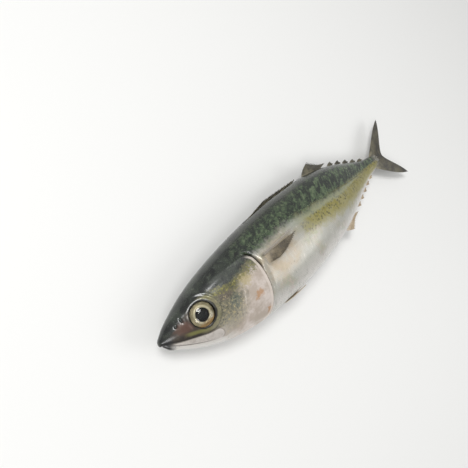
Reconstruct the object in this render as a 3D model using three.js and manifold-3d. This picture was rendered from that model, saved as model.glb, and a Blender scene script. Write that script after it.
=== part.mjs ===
// A whole fresh mackerel lying on its right side. Millimetres, +Z up, head towards -X, back towards +Y.
// The body is one solid with its skin as its surface. The eyes and the fins are solids of their own, which
// sit in sockets, pockets and grooves of the body or stand on it.
import * as THREE from "three";
import { mergeVertices } from "three/addons/utils/BufferGeometryUtils.js";
import Module from "manifold-3d";

const wasm = await Module();
wasm.setup();

// ---- driving dimensions, in millimetres ----
const BODY_LENGTH = 186; // tip of the snout to the root of the tail fin
const BODY_DEPTH = 48; // back to belly at the deepest section
const BODY_THICKNESS = 28.5; // flank to flank at the widest section
const SETTLE = 1.1; // how far the lower flank flattens where it rests
const TAIL_DROOP = 4.5; // how far the root of the tail sags below the middle of the body
const HEAD_DROOP = 1.4; // how far the snout sags
const GAP = 0.3; // between a fin or an eye and the skin round it

const EYE_DIAMETER = 12.6;
const EYE_DEPTH = 7.6; // front to back through the eyeball
const EYE_PROUD = 1.1; // how far it stands out of the head
const EYE_RISE = 2.5; // its centre, above the middle of the head there

const MOUTH_LENGTH = 23; // snout to the corner of the mouth
const MOUTH_HEIGHT = -1.8; // of the line between the jaws at the snout
const MOUTH_DROP = 12.6; // how far its corner lies lower
const MOUTH_GAP = 0.5; // between the closed jaws, at the snout
const GILL_SLIT_WIDTH = 0.9;
const GILL_SLIT_DEPTH = 2.2;
const GILL_SWEEP = 7; // how far its lower end lies ahead of its upper end

const FIN_THICKNESS = 0.8; // of every blade
const PECTORAL_LENGTH = 25;
const PECTORAL_WIDTH = 6.8;
const PECTORAL_RISE = 1.4; // how far the upper edge climbs from root to tip
const PELVIC_LENGTH = 16;
const PELVIC_WIDTH = 3.2;
const FOLDED_DORSAL_LENGTH = 46; // the first dorsal fin, down in its groove
const FOLDED_DORSAL_WIDTH = 1.6;
const FOLDED_DORSAL_PROUD = 1.3; // how far it shows above the back
const GROOVE_DEPTH = 1.6;
const SECOND_DORSAL_LENGTH = 17;
const SECOND_DORSAL_HEIGHT = 6;
const ANAL_LENGTH = 14;
const ANAL_HEIGHT = 5.5;
const FIN_LEAN = 5; // how far the tips of these two lean towards the tail
const FINLETS = 5; // in each of the two rows, between the fin in front and the tail
const FINLET_SPACING = 1; // from the tip of one to the foot of the next
const FINLET_HEIGHT = 3; // of the first, and each next one is lower
const FINLET_LEAN = 1.4;
const FINLETS_TO_TAIL = 8; // from the end of a row to the root of the tail
const TAIL_LENGTH = 30; // root of the tail to the tips of its lobes
const TAIL_SPAN = 44; // tip to tip
const FORK_DEPTH = 17; // tips to the notch between the lobes

// ---- places along the body, as shares of its length ----
const EYE_ALONG = 0.109;
const GILL_ALONG = 0.3; // upper end of the gill slit
const PECTORAL_ALONG = 0.32;
const PELVIC_ALONG = 0.345;
const FOLDED_DORSAL_ALONG = 0.375;
const SECOND_DORSAL_ALONG = 0.655;
const ANAL_ALONG = 0.69;

// Sections of the body: share of the length, then the back and the belly as shares of the depth, measured
// from the straight line between snout and tail, then the half width as a share of half the thickness.
const SECTIONS = [
  [0, 0.024, -0.066, 0.14],
  [0.02, 0.078, -0.15, 0.28],
  [0.055, 0.146, -0.256, 0.45],
  [0.1, 0.218, -0.356, 0.61],
  [0.155, 0.284, -0.436, 0.74],
  [0.22, 0.34, -0.492, 0.85],
  [0.3, 0.394, -0.528, 0.94],
  [0.4, 0.442, -0.54, 0.99],
  [0.5, 0.47, -0.52, 1],
  [0.6, 0.47, -0.475, 0.93],
  [0.7, 0.436, -0.405, 0.78],
  [0.79, 0.36, -0.3, 0.575],
  [0.87, 0.25, -0.19, 0.37],
  [0.94, 0.152, -0.102, 0.22],
  [1, 0.112, -0.068, 0.15],
];

// ---- the shape of the body ----

// A smooth curve through given heights that never overshoots them.
function smooth(xs, ys) {
  const slope = (i) => (ys[i + 1] - ys[i]) / (xs[i + 1] - xs[i]);
  const tangent = xs.map((_, i) => {
    if (i === 0) return slope(0);
    if (i === xs.length - 1) return slope(i - 1);
    const before = slope(i - 1);
    const after = slope(i);
    return before * after <= 0 ? 0 : (2 * before * after) / (before + after);
  });
  return (x) => {
    const at = THREE.MathUtils.clamp(x, xs[0], xs[xs.length - 1]);
    let i = 0;
    while (i < xs.length - 2 && at > xs[i + 1]) i++;
    const step = xs[i + 1] - xs[i];
    const t = (at - xs[i]) / step;
    return (
      ys[i] * (1 + 2 * t) * (1 - t) ** 2 +
      tangent[i] * step * t * (1 - t) ** 2 +
      ys[i + 1] * t * t * (3 - 2 * t) +
      tangent[i + 1] * step * t * t * (t - 1)
    );
  };
}

function alongBody(column, scale) {
  const xs = SECTIONS.map((section) => section[0] * BODY_LENGTH);
  const ys = SECTIONS.map((section) => section[column] * scale);
  return smooth(xs, ys);
}

const back = alongBody(1, BODY_DEPTH);
const belly = alongBody(2, BODY_DEPTH);
const halfWidth = alongBody(3, BODY_THICKNESS / 2);
const middle = (x) => (back(x) + belly(x)) / 2;
const halfDepth = (x) => (back(x) - belly(x)) / 2;

// How far the middle of the fish lies above its straight line, at x: never above zero.
function sag(x) {
  const tail = Math.max(0, (x / BODY_LENGTH - 0.45) / 0.55);
  const head = Math.max(0, 1 - x / BODY_LENGTH / 0.35);
  return -TAIL_DROOP * tail ** 1.8 - HEAD_DROOP * head ** 1.5;
}

const table = SETTLE - BODY_THICKNESS / 2; // height of the surface that the fish lies on

// The skin at x, before the fish sags. The angle is 0 on the upper flank and a quarter turn at the back.
// Where the flank would go below the table, it lies flat on it.
function skin(x, angle) {
  const rise = Math.sin(angle);
  const fullness = 1 + 0.1 * rise - 0.1 * rise * rise;
  const z = halfWidth(x) * Math.cos(angle) * fullness;
  return new THREE.Vector3(x, middle(x) + halfDepth(x) * rise, Math.max(z, table - sag(x)));
}

// The height of the skin over a point of the side view: side is 1 for the upper, left flank.
function flank(x, y, side) {
  const rise = THREE.MathUtils.clamp((y - middle(x)) / halfDepth(x), -1, 1);
  const angle = Math.asin(rise);
  return skin(x, side > 0 ? angle : Math.PI - angle).z;
}

// ---- solids ----

const steps = (count) => Array.from({ length: count + 1 }, (_, i) => i / count);

function closedGeometry(points, index) {
  const geometry = new THREE.BufferGeometry().setFromPoints(points);
  geometry.setIndex(index);
  return geometry;
}

function solidOf(geometry) {
  const bare = geometry.clone();
  bare.deleteAttribute("normal");
  bare.deleteAttribute("uv");
  const merged = mergeVertices(bare, 1e-4);
  const vertProperties = new Float32Array(merged.attributes.position.array);
  const triVerts = new Uint32Array(merged.index.array);
  return new wasm.Manifold(new wasm.Mesh({ numProp: 3, vertProperties, triVerts }));
}

function geometryOf(solid) {
  const mesh = solid.getMesh();
  const geometry = new THREE.BufferGeometry();
  geometry.setAttribute("position", new THREE.BufferAttribute(mesh.vertProperties, 3));
  geometry.setIndex(new THREE.BufferAttribute(mesh.triVerts, 1));
  return geometry;
}

// A closed slab between two sheets, each a function of u and v from 0 to 1. The outer sheet lies on the
// side that the cross product of the u and v directions points to.
function slab(uSteps, vSteps, inner, outer) {
  const grid = (sheet) => steps(uSteps).flatMap((u) => steps(vSteps).map((v) => sheet(u, v)));
  const points = [...grid(inner), ...grid(outer)];
  const layer = points.length / 2;
  const below = (i, j) => i * (vSteps + 1) + j;
  const above = (i, j) => below(i, j) + layer;
  const index = [];
  const face = (a, b, c, d) => index.push(a, b, c, a, c, d);
  for (let i = 0; i < uSteps; i++) {
    for (let j = 0; j < vSteps; j++) {
      face(above(i, j), above(i + 1, j), above(i + 1, j + 1), above(i, j + 1));
      face(below(i, j), below(i, j + 1), below(i + 1, j + 1), below(i + 1, j));
    }
    face(below(i, 0), below(i + 1, 0), above(i + 1, 0), above(i, 0));
    face(below(i + 1, vSteps), below(i, vSteps), above(i, vSteps), above(i + 1, vSteps));
  }
  for (let j = 0; j < vSteps; j++) {
    face(below(0, j + 1), below(0, j), above(0, j), above(0, j + 1));
    face(below(uSteps, j), below(uSteps, j + 1), above(uSteps, j + 1), above(uSteps, j));
  }
  return closedGeometry(points, index);
}

// The same, with the outer sheet on the side of the fish that is given.
function sidedSlab(side, uSteps, vSteps, inner, outer) {
  return side > 0 ? slab(uSteps, vSteps, inner, outer) : slab(uSteps, vSteps, outer, inner);
}

// A flat blade in the middle plane of the fish.
function blade(outline) {
  const settings = { depth: FIN_THICKNESS, bevelEnabled: false, curveSegments: 8 };
  return new THREE.ExtrudeGeometry(outline, settings).translate(0, 0, -FIN_THICKNESS / 2);
}

// ---- the body ----

function trunk() {
  const around = 40;
  const rings = steps(46).map((t) => {
    const x = BODY_LENGTH * t * (0.55 + 0.45 * t); // closer together towards the snout
    const angles = steps(around).slice(1);
    return angles.map((turn) => skin(x, turn * 2 * Math.PI));
  });
  const points = rings.flat();
  const index = [];
  for (let i = 0; i < rings.length - 1; i++) {
    for (let j = 0; j < around; j++) {
      const next = (j + 1) % around;
      const [a, b] = [i * around + j, i * around + next];
      index.push(a, a + around, b + around, a, b + around, b);
    }
  }
  for (const ring of [0, rings.length - 1]) {
    const hub = points.length;
    const centre = new THREE.Vector3();
    rings[ring].forEach((point) => centre.add(point));
    points.push(centre.divideScalar(around));
    for (let j = 0; j < around; j++) {
      const pair = [ring * around + j, ring * around + ((j + 1) % around)];
      index.push(hub, ...(ring > 0 ? pair.reverse() : pair));
    }
  }
  return closedGeometry(points, index);
}

// Where an eye sits on its side of the head, and which way it looks.
function eyePlace(side) {
  const x = EYE_ALONG * BODY_LENGTH;
  const y = middle(x) + EYE_RISE;
  const reach = EYE_DIAMETER / 3;
  const slopeX = (flank(x + reach, y, side) - flank(x - reach, y, side)) / (2 * reach);
  const slopeY = (flank(x, y + reach, side) - flank(x, y - reach, side)) / (2 * reach);
  const look = new THREE.Vector3(-slopeX * side, -slopeY * side, side).normalize();
  const centre = new THREE.Vector3(x, y, flank(x, y, side));
  return { centre: centre.addScaledVector(look, EYE_PROUD - EYE_DEPTH / 2), look };
}

function eyeball(clearance = 0) {
  const radius = EYE_DIAMETER / 2 + clearance;
  const flatness = (EYE_DEPTH / 2 + clearance) / radius;
  return new THREE.SphereGeometry(radius, 24, 14).rotateX(Math.PI / 2).scale(1, 1, flatness);
}

function eyeSocket(side) {
  const { centre, look } = eyePlace(side);
  const turn = new THREE.Quaternion().setFromUnitVectors(new THREE.Vector3(0, 0, 1), look);
  return eyeball(GAP).applyQuaternion(turn).translate(centre.x, centre.y, centre.z);
}

// The slit behind a gill cover, from its lower end up to its upper end.
function gillSlit(side) {
  const upperEnd = 0.46; // angles round the section
  const lowerEnd = -1.3;
  const sheet = (lift) => (u, v) => {
    const angle = THREE.MathUtils.lerp(lowerEnd, upperEnd, v);
    const x = GILL_ALONG * BODY_LENGTH - GILL_SWEEP * (1 - v) ** 3 + (u - 0.5) * GILL_SLIT_WIDTH;
    const outward = new THREE.Vector3(0, Math.sin(angle), side * Math.cos(angle));
    return skin(x, side > 0 ? angle : Math.PI - angle).addScaledVector(outward, lift);
  };
  return sidedSlab(side, 1, 16, sheet(-GILL_SLIT_DEPTH), sheet(1));
}

// The line between the closed jaws, cut right through the head and finest at the corners of the mouth.
function mouthSlit() {
  const ahead = 1; // the cut starts in front of the snout
  const sheet = (side) => (u, v) => {
    const x = u * (MOUTH_LENGTH + ahead) - ahead;
    const y = MOUTH_HEIGHT - MOUTH_DROP * u + side * (MOUTH_GAP / 2) * (1.1 - u);
    return new THREE.Vector3(x, y, (0.5 - v) * BODY_THICKNESS);
  };
  return slab(6, 1, sheet(-1), sheet(1));
}

// ---- the fins ----

// A pectoral fin lies back along its flank in a shallow pocket: broad behind its root, pointed at its tip.
// With a clearance it is the pocket, which is open to the outside.
function pectoral(side, clearance = 0) {
  const x0 = PECTORAL_ALONG * BODY_LENGTH;
  const top0 = middle(x0) + 0.11 * BODY_DEPTH;
  const sheet = (lift) => (u, v) => {
    const x = x0 - clearance + u * (PECTORAL_LENGTH + 2 * clearance);
    const width = PECTORAL_WIDTH * (0.62 + 0.9 * u - 1.36 * u * u) + 2 * clearance;
    const y = top0 + clearance + u * PECTORAL_RISE - width * (1 - v);
    return new THREE.Vector3(x, y, flank(x, y, side) + side * lift);
  };
  const outside = clearance > 0 ? 2 * FIN_THICKNESS : 0;
  return sidedSlab(side, 14, 5, sheet(-FIN_THICKNESS - clearance), sheet(outside));
}

// The pelvic fins lie back under the belly, one each side of its middle line.
function pelvic(side) {
  const x0 = PELVIC_ALONG * BODY_LENGTH;
  const sheet = (drop) => (u, v) => {
    const x = x0 + u * PELVIC_LENGTH;
    const width = PELVIC_WIDTH * (1 - 0.55 * u * u);
    const z = GAP + width * (side > 0 ? v : 1 - v);
    const angle = -Math.acos(z / halfWidth(x));
    return new THREE.Vector3(x, skin(x, angle).y - drop, side * z);
  };
  return slab(8, 2, sheet(GAP), sheet(GAP + FIN_THICKNESS));
}

// The first dorsal fin folds down into a groove along the back. With a clearance it is the groove.
function foldedDorsal(clearance = 0) {
  const x0 = FOLDED_DORSAL_ALONG * BODY_LENGTH;
  const outside = 2 * GROOVE_DEPTH;
  const taper = (x) => {
    const t = THREE.MathUtils.clamp((x - x0) / FOLDED_DORSAL_LENGTH, 0, 1);
    return Math.min(1, 0.35 + 6 * t, 0.25 + 5 * (1 - t));
  };
  const sheet = (top) => (u, v) => {
    const x = x0 - clearance + u * (FOLDED_DORSAL_LENGTH + 2 * clearance);
    const width = FOLDED_DORSAL_WIDTH * taper(x) + 2 * clearance;
    const crest = clearance > 0 ? outside : FOLDED_DORSAL_PROUD * taper(x) + GROOVE_DEPTH * (taper(x) - 1);
    const y = back(x) + (top ? crest : -GROOVE_DEPTH - clearance);
    return new THREE.Vector3(x, y, (0.5 - v) * width);
  };
  return slab(20, 1, sheet(false), sheet(true));
}

// A fin that stands on the back, side 1, or hangs under the belly, side -1. It is highest near its front.
function standingFin(x0, length, height, lean, side) {
  const foot = (x) => (side > 0 ? back(x) : belly(x)) + side * GAP;
  const end = x0 + length;
  const up = (x, share) => foot(Math.min(x, end)) + side * height * share;
  const peak = x0 + 0.25 * length;
  const outline = new THREE.Shape();
  outline.moveTo(x0, foot(x0));
  outline.quadraticCurveTo(x0 + 0.1 * length, up(x0, 0.7), peak + lean, up(peak, 1));
  outline.quadraticCurveTo(x0 + 0.5 * length + lean, up(end, 0.5), end + lean, up(end, 0.15));
  steps(6).reverse().forEach((t) => outline.lineTo(x0 + t * length, foot(x0 + t * length)));
  return blade(outline);
}

function tailFin() {
  const root = BODY_LENGTH + GAP;
  const tips = BODY_LENGTH + TAIL_LENGTH;
  const notch = tips - FORK_DEPTH;
  const axis = middle(BODY_LENGTH);
  const half = TAIL_SPAN / 2;
  const outline = new THREE.Shape();
  outline.moveTo(root, belly(BODY_LENGTH));
  outline.bezierCurveTo(root + 6, axis - 5.5, tips - 12, axis - half + 3, tips, axis - half);
  outline.bezierCurveTo(tips - 4, axis - half + 8, notch + 1, axis - 5, notch, axis);
  outline.bezierCurveTo(notch + 1, axis + 5, tips - 4, axis + half - 8, tips, axis + half);
  outline.bezierCurveTo(tips - 12, axis + half - 3, root + 6, axis + 5.5, root, back(BODY_LENGTH));
  return blade(outline);
}

// ---- materials ----
const wet = (color, roughness) => new THREE.MeshStandardMaterial({ color, roughness, metalness: 0 });
const skinFinish = wet(0x8f9a8c, 0.28);
const eyeFinish = wet(0xc9bd97, 0.12);
const darkFin = wet(0x6f6d58, 0.4);
const paleFin = wet(0xb79a76, 0.4);

// ---- the fish ----
const fish = new THREE.Group();

// Sinks every point of a piece by as much as the fish sags there, so all pieces follow its bent middle.
function sagged(geometry) {
  const position = geometry.attributes.position;
  for (let i = 0; i < position.count; i++) {
    position.setZ(i, position.getZ(i) + sag(position.getX(i)));
  }
  geometry.computeVertexNormals();
  return geometry;
}

function add(name, geometry, material) {
  const mesh = new THREE.Mesh(geometry, material);
  mesh.name = name;
  fish.add(mesh);
  return mesh;
}

const SIDES = [
  ["left", 1],
  ["right", -1],
];

const cuts = [mouthSlit(), foldedDorsal(GAP)];
for (const [, side] of SIDES) {
  cuts.push(gillSlit(side), pectoral(side, GAP), eyeSocket(side));
}
const body = cuts.reduce((solid, cut) => solid.subtract(solidOf(cut)), solidOf(trunk()));
add("body", sagged(geometryOf(body)), skinFinish);

for (const [name, side] of SIDES) {
  const { centre, look } = eyePlace(side);
  const eye = add(`${name}_eye`, eyeball(), eyeFinish);
  eye.position.set(centre.x, centre.y, centre.z + sag(centre.x));
  eye.quaternion.setFromUnitVectors(new THREE.Vector3(0, 0, 1), look);
  add(`${name}_pectoral_fin`, sagged(pectoral(side)), darkFin);
  add(`${name}_pelvic_fin`, sagged(pelvic(side)), paleFin);
}

add("first_dorsal_fin", sagged(foldedDorsal()), darkFin);
const secondDorsalStart = SECOND_DORSAL_ALONG * BODY_LENGTH;
const analStart = ANAL_ALONG * BODY_LENGTH;
const secondDorsal = standingFin(secondDorsalStart, SECOND_DORSAL_LENGTH, SECOND_DORSAL_HEIGHT, FIN_LEAN, 1);
const anal = standingFin(analStart, ANAL_LENGTH, ANAL_HEIGHT, FIN_LEAN, -1);
add("second_dorsal_fin", sagged(secondDorsal), darkFin);
add("anal_fin", sagged(anal), paleFin);

// The finlets share the length between the fin in front of them and the tail.
function addFinlets(name, rowStart, side, material) {
  const pitch = (BODY_LENGTH - FINLETS_TO_TAIL - rowStart) / FINLETS;
  const length = pitch - FINLET_LEAN - FINLET_SPACING;
  for (let i = 0; i < FINLETS; i++) {
    const height = FINLET_HEIGHT * (1 - 0.08 * i);
    const finlet = standingFin(rowStart + i * pitch, length, height, FINLET_LEAN, side);
    add(`${name}_${i + 1}`, sagged(finlet), material);
  }
}
const behindDorsal = secondDorsalStart + SECOND_DORSAL_LENGTH + FIN_LEAN + FINLET_SPACING;
const behindAnal = analStart + ANAL_LENGTH + FIN_LEAN + FINLET_SPACING;
addFinlets("dorsal_finlet", behindDorsal, 1, darkFin);
addFinlets("anal_finlet", behindAnal, -1, paleFin);
add("tail_fin", sagged(tailFin()), darkFin);

// The origin is at the middle of the underside of the box round the whole fish.
const box = new THREE.Box3().setFromObject(fish, true);
const centre = box.getCenter(new THREE.Vector3());
fish.position.set(-centre.x, -centre.y, -box.min.z);

const part = new THREE.Group();
part.add(fish);
export default part;
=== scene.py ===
import math

import bpy
import numpy as np
from mathutils import Matrix, Vector


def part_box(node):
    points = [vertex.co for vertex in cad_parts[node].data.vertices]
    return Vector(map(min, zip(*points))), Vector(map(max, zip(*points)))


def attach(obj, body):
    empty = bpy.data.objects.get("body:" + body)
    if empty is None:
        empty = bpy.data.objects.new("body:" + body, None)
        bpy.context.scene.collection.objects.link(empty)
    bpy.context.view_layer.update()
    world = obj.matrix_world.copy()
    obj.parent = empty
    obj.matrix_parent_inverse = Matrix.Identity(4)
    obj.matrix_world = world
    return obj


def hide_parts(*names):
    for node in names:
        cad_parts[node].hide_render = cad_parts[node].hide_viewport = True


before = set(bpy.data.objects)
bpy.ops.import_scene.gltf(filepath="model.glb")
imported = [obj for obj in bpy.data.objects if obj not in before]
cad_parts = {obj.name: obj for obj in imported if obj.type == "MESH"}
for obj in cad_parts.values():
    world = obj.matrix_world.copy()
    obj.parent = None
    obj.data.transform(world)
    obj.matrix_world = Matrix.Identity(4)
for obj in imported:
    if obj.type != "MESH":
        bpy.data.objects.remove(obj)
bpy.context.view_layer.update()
mm = 0.001

# x runs from the snout to the tail, y from the belly to the back and z out of the left flank, in millimetres.
# The fish lies on its right flank, so these are the frame's own directions, moved to the snout.
bodyLow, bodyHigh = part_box("body")
fishForm = {
    "length": (bodyHigh.x - bodyLow.x) / mm,
    "depth": (bodyHigh.y - bodyLow.y) / mm / 1.008,  # deepest back and deepest belly are at different places
    "snoutHeight": 0.54,  # share of the depth
    "settle": 1.1,  # how far the lower flank is pressed flat
    "tailDroop": 4.5,
    "headDroop": 1.4,
}
fishForm["thickness"] = (bodyHigh.z - bodyLow.z) / mm + fishForm["settle"]
bodyLength = fishForm["length"]
snout = Vector((bodyLow.x, bodyLow.y + fishForm["snoutHeight"] * fishForm["depth"] * mm,
                ((bodyHigh.z - bodyLow.z) - fishForm["settle"] * mm) / 2))

# share of the length, back and belly as shares of the depth, half width as a share of half the thickness
sections = [
    (0, 0.024, -0.066, 0.14),
    (0.02, 0.078, -0.15, 0.28),
    (0.055, 0.146, -0.256, 0.45),
    (0.1, 0.218, -0.356, 0.61),
    (0.155, 0.284, -0.436, 0.74),
    (0.22, 0.34, -0.492, 0.85),
    (0.3, 0.394, -0.528, 0.94),
    (0.4, 0.442, -0.54, 0.99),
    (0.5, 0.47, -0.52, 1),
    (0.6, 0.47, -0.475, 0.93),
    (0.7, 0.436, -0.405, 0.78),
    (0.79, 0.36, -0.3, 0.575),
    (0.87, 0.25, -0.19, 0.37),
    (0.94, 0.152, -0.102, 0.22),
    (1, 0.112, -0.068, 0.15),
]


def through(xs, ys):
    # a smooth curve through the points that never overshoots them
    xs, ys = np.array(xs, float), np.array(ys, float)
    slope = np.diff(ys) / np.diff(xs)
    before, after = slope[:-1], slope[1:]
    both = before + after
    same = before * after > 0
    inner = np.where(same, 2 * before * after / np.where(same, both, 1), 0)
    tangent = np.concatenate([slope[:1], inner, slope[-1:]])

    def curve(x):
        at = np.clip(x, xs[0], xs[-1])
        i = np.clip(np.searchsorted(xs, at, side="right") - 1, 0, len(xs) - 2)
        step = xs[i + 1] - xs[i]
        t = (at - xs[i]) / step
        return (ys[i] * (1 + 2 * t) * (1 - t) ** 2 + tangent[i] * step * t * (1 - t) ** 2
                + ys[i + 1] * t * t * (3 - 2 * t) + tangent[i + 1] * step * t * t * (t - 1))
    return curve


def alongBody(column, scale):
    return through([s[0] * bodyLength for s in sections], [s[column] * scale for s in sections])


back = alongBody(1, fishForm["depth"])
belly = alongBody(2, fishForm["depth"])
halfWidth = alongBody(3, fishForm["thickness"] / 2)
table = fishForm["settle"] - fishForm["thickness"] / 2  # height of the surface it lies on


def middle(x):
    return (back(x) + belly(x)) / 2


def halfDepth(x):
    return (back(x) - belly(x)) / 2


def sag(x):
    tail = np.maximum(0, (x / bodyLength - 0.45) / 0.55)
    head = np.clip(1 - x / bodyLength / 0.35, 0, 1)
    return -fishForm["tailDroop"] * tail ** 1.8 - fishForm["headDroop"] * head ** 1.5


def fullness(rise):
    # how the width changes between the middle of the flank and the back or belly
    return 1 + 0.1 * rise - 0.1 * rise ** 2


def flank(x, y, side=1):
    # height of the plain skin over a point of the side view
    rise = np.clip((y - middle(x)) / halfDepth(x), -1, 1)
    z = side * halfWidth(x) * np.sqrt(1 - rise ** 2) * fullness(rise) + sag(x)
    return np.maximum(z, table)


def toFrame(points):
    # fish millimetres to frame metres
    return np.asarray(points, float) * mm + np.array(snout)


def fishBox(node):
    return [(np.array(corner) - np.array(snout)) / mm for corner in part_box(node)]


def ramp(value, low, high):
    t = np.clip((value - low) / (high - low), 0, 1)
    return t * t * (3 - 2 * t)


def span(value, a, b, c, d):
    # 1 from b to c, and 0 outside a and d
    return ramp(value, a, b) * (1 - ramp(value, c, d))


def ridge(value, width):
    return np.exp(-(value / width) ** 2)


def makeObject(name, data):
    made = bpy.data.objects.new(name, data)
    bpy.context.scene.collection.objects.link(made)
    return made


def makeMesh(name, points, faces, fields=None, edges=(), uv=None):
    mesh = bpy.data.meshes.new(name)
    mesh.from_pydata(np.asarray(points).tolist(), list(edges), faces)
    if uv is not None:
        mesh.uv_layers.new(name="skinMap").data.foreach_set("uv", np.asarray(uv, np.float32).ravel())
    for key, values in (fields or {}).items():
        values = np.asarray(values, np.float32)
        kind, part = ("FLOAT", "value") if values.ndim == 1 else ("FLOAT_VECTOR", "vector")
        mesh.attributes.new(key, kind, "POINT").data.foreach_set(part, values.ravel())
    mesh.polygons.foreach_set("use_smooth", [True] * len(mesh.polygons))
    mesh.update()
    return makeObject(name, mesh)


def ringQuads(rings, around):
    # quads between closed rings of points that follow each other
    i, j = np.meshgrid(np.arange(rings - 1), np.arange(around), indexing="ij")
    here, there = i * around, (i + 1) * around
    k = (j + 1) % around
    return np.stack([here + j, there + j, there + k, here + k], -1).reshape(-1, 4).tolist()


def fan(hub, first, around, flip=False):
    # triangles from a ring to the point that closes it
    pairs = [(first + j, first + (j + 1) % around) for j in range(around)]
    return [(hub, b, a) if flip else (hub, a, b) for a, b in pairs]


def addPiece(piece, nodes, slot, material=None):
    if material:
        piece.data.materials.clear()
        piece.data.materials.append(material)
    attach(piece, "root")
    if nodes:
        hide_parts(*nodes)


# the lie of the head, in fish millimetres
headPlan = {
    "eye": (20.5, -0.9),
    "eyeRadius": 5.95,
    "nostrils": [  # place, shape, size, patch of painted shade in the pit
        ((8.2, 1.5), (1, 1), 0.55, (0.6, 0.6)),
        ((11.6, 2.6), (0.5, 1.3), 0.8, (0.45, 1.1)),
    ],
    "gillEdge": ([-26, -24, -21, -16, -9, 0, 5, 8, 10.5],
                 [43, 48.5, 52.6, 55, 56.2, 56.5, 56, 54.2, 50.6]),  # y, x
    "cheekEdge": ([-23, -20, -16.5, -12, -6, 0, 4], [28, 34.5, 37.6, 39.6, 42.2, 44.4, 44.8]),  # y, x
    "lipLine": ([-1, 4, 13, 20, 26], [-1.7, -4.3, -7.9, -10.4, -11.6]),  # x, y: upper edge of the upper jaw
    "mouthLine": ([-1, 1, 5.7, 14.4, 20, 25.5], [-2.0, -3.2, -6.9, -12.2, -14.8, -16.6]),  # x, y
    "throatLine": ([20, 30, 40, 48], [-0.985, -0.95, -0.93, -0.93]),  # x, rise
    "jawEnd": 25.8,
}
gillEdge, cheekEdge, lipLine, mouthLine, throatLine = (
    through(*headPlan[key]) for key in ("gillEdge", "cheekEdge", "lipLine", "mouthLine", "throatLine"))

# lines along the trunk, as x and rise: 1 is the back and -1 the belly
lateralLine = through([55, 75, 100, 130, 160, 186], [0.62, 0.56, 0.42, 0.2, 0.05, 0.02])
backBorder = through([0, 8, 18, 25, 32, 40, 50, 62, 80, 92, 106, 120, 135, 160, 186],
                     [0.1, 0.42, 0.58, 0.57, 0.46, 0.36, 0.38, 0.42, 0.42, 0.36, 0.29, 0.22, 0.14, 0.12, 0.1])
bandBorder = through([80, 96, 122, 151, 175, 186], [0.1, -0.08, -0.36, -0.6, -0.85, -0.9])

finPlan = {
    "pectoralRoot": 59.5,
    "pectoralLength": 25.0,
    "pectoralWidth": 6.8,
    "pectoralTop": 3.1,
    "pectoralRise": 1.4,
    "foldedFrom": 69.75,
    "foldedLength": 46.0,
}


def jawBlade(x, y):
    # distance outside the flat bone of the upper jaw, which widens to a rounded end
    t = np.clip((x - 3) / 19.6, 0, 1)
    centre = (lipLine(x) + mouthLine(x)) / 2 - 0.1
    half = 0.7 + 1.9 * t ** 1.4
    return np.hypot(np.maximum(0, x - 22.6), (y - centre) / 0.96) - half


def lineSlope(line, at):
    return (line(at + 0.25) - line(at - 0.25)) / 0.5


def pastEdge(edge, x, y):
    # distance behind an edge that is given as x over y
    return (x - edge(y)) / np.sqrt(1 + lineSlope(edge, y) ** 2)


def belowLine(line, x, y):
    # distance under a line that is given as y over x
    return (line(x) - y) / np.sqrt(1 + lineSlope(line, x) ** 2)


def alongPectoral(x):
    # share of the way along the pectoral fin, and the height of its upper edge there
    u = (x - finPlan["pectoralRoot"]) / finPlan["pectoralLength"]
    return u, finPlan["pectoralTop"] + finPlan["pectoralRise"] * u


def pectoralWidth(u):
    u = np.clip(u, 0, 1)
    return finPlan["pectoralWidth"] * (0.62 + 0.9 * u - 1.36 * u * u)


def slitShade(x, y):
    # how far down in the open gill slit a point lies, from 0 to 1, which sets the painted shade that fills it
    return span(y, -5, 2, 8.8, 10.4) * ridge(pastEdge(gillEdge, x, y) - 0.65, 0.55)


def pocketShade(x, y):
    # painted shadow in the crease along the upper edge of the pectoral fin, from 0 to 1
    u, top = alongPectoral(x)
    return span(u, -0.02, 0.08, 0.85, 1.04) * ridge(y - top - 0.15, 0.6)


skinRelief = {  # heights and depths, in millimetres
    "gillPlate": 0.75, "gillGroove": 0.6, "gillSlit": 1.3, "shoulder": 0.35,
    "cheekGroove": 0.1, "cheekPlate": 0.12, "coverFold": 0.09, "throatFold": 0.32,
    "jawBone": 0.2, "upperJaw": 0.15, "mouth": 0.5, "mouthInner": 0.05, "lowerJaw": 0.2, "chin": 0.75,
    "socket": 4.6, "socketRim": 0.13, "eyeFold": 0.12, "brow": 0.25, "nostrils": (0.5, 0.6),
    "pocket": 0.62, "finRoot": 0.45, "lineGroove": 0.12, "lineSwell": 0.06, "finGroove": 1.35,
    "keels": 0.55, "vent": 0.6,
}


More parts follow.
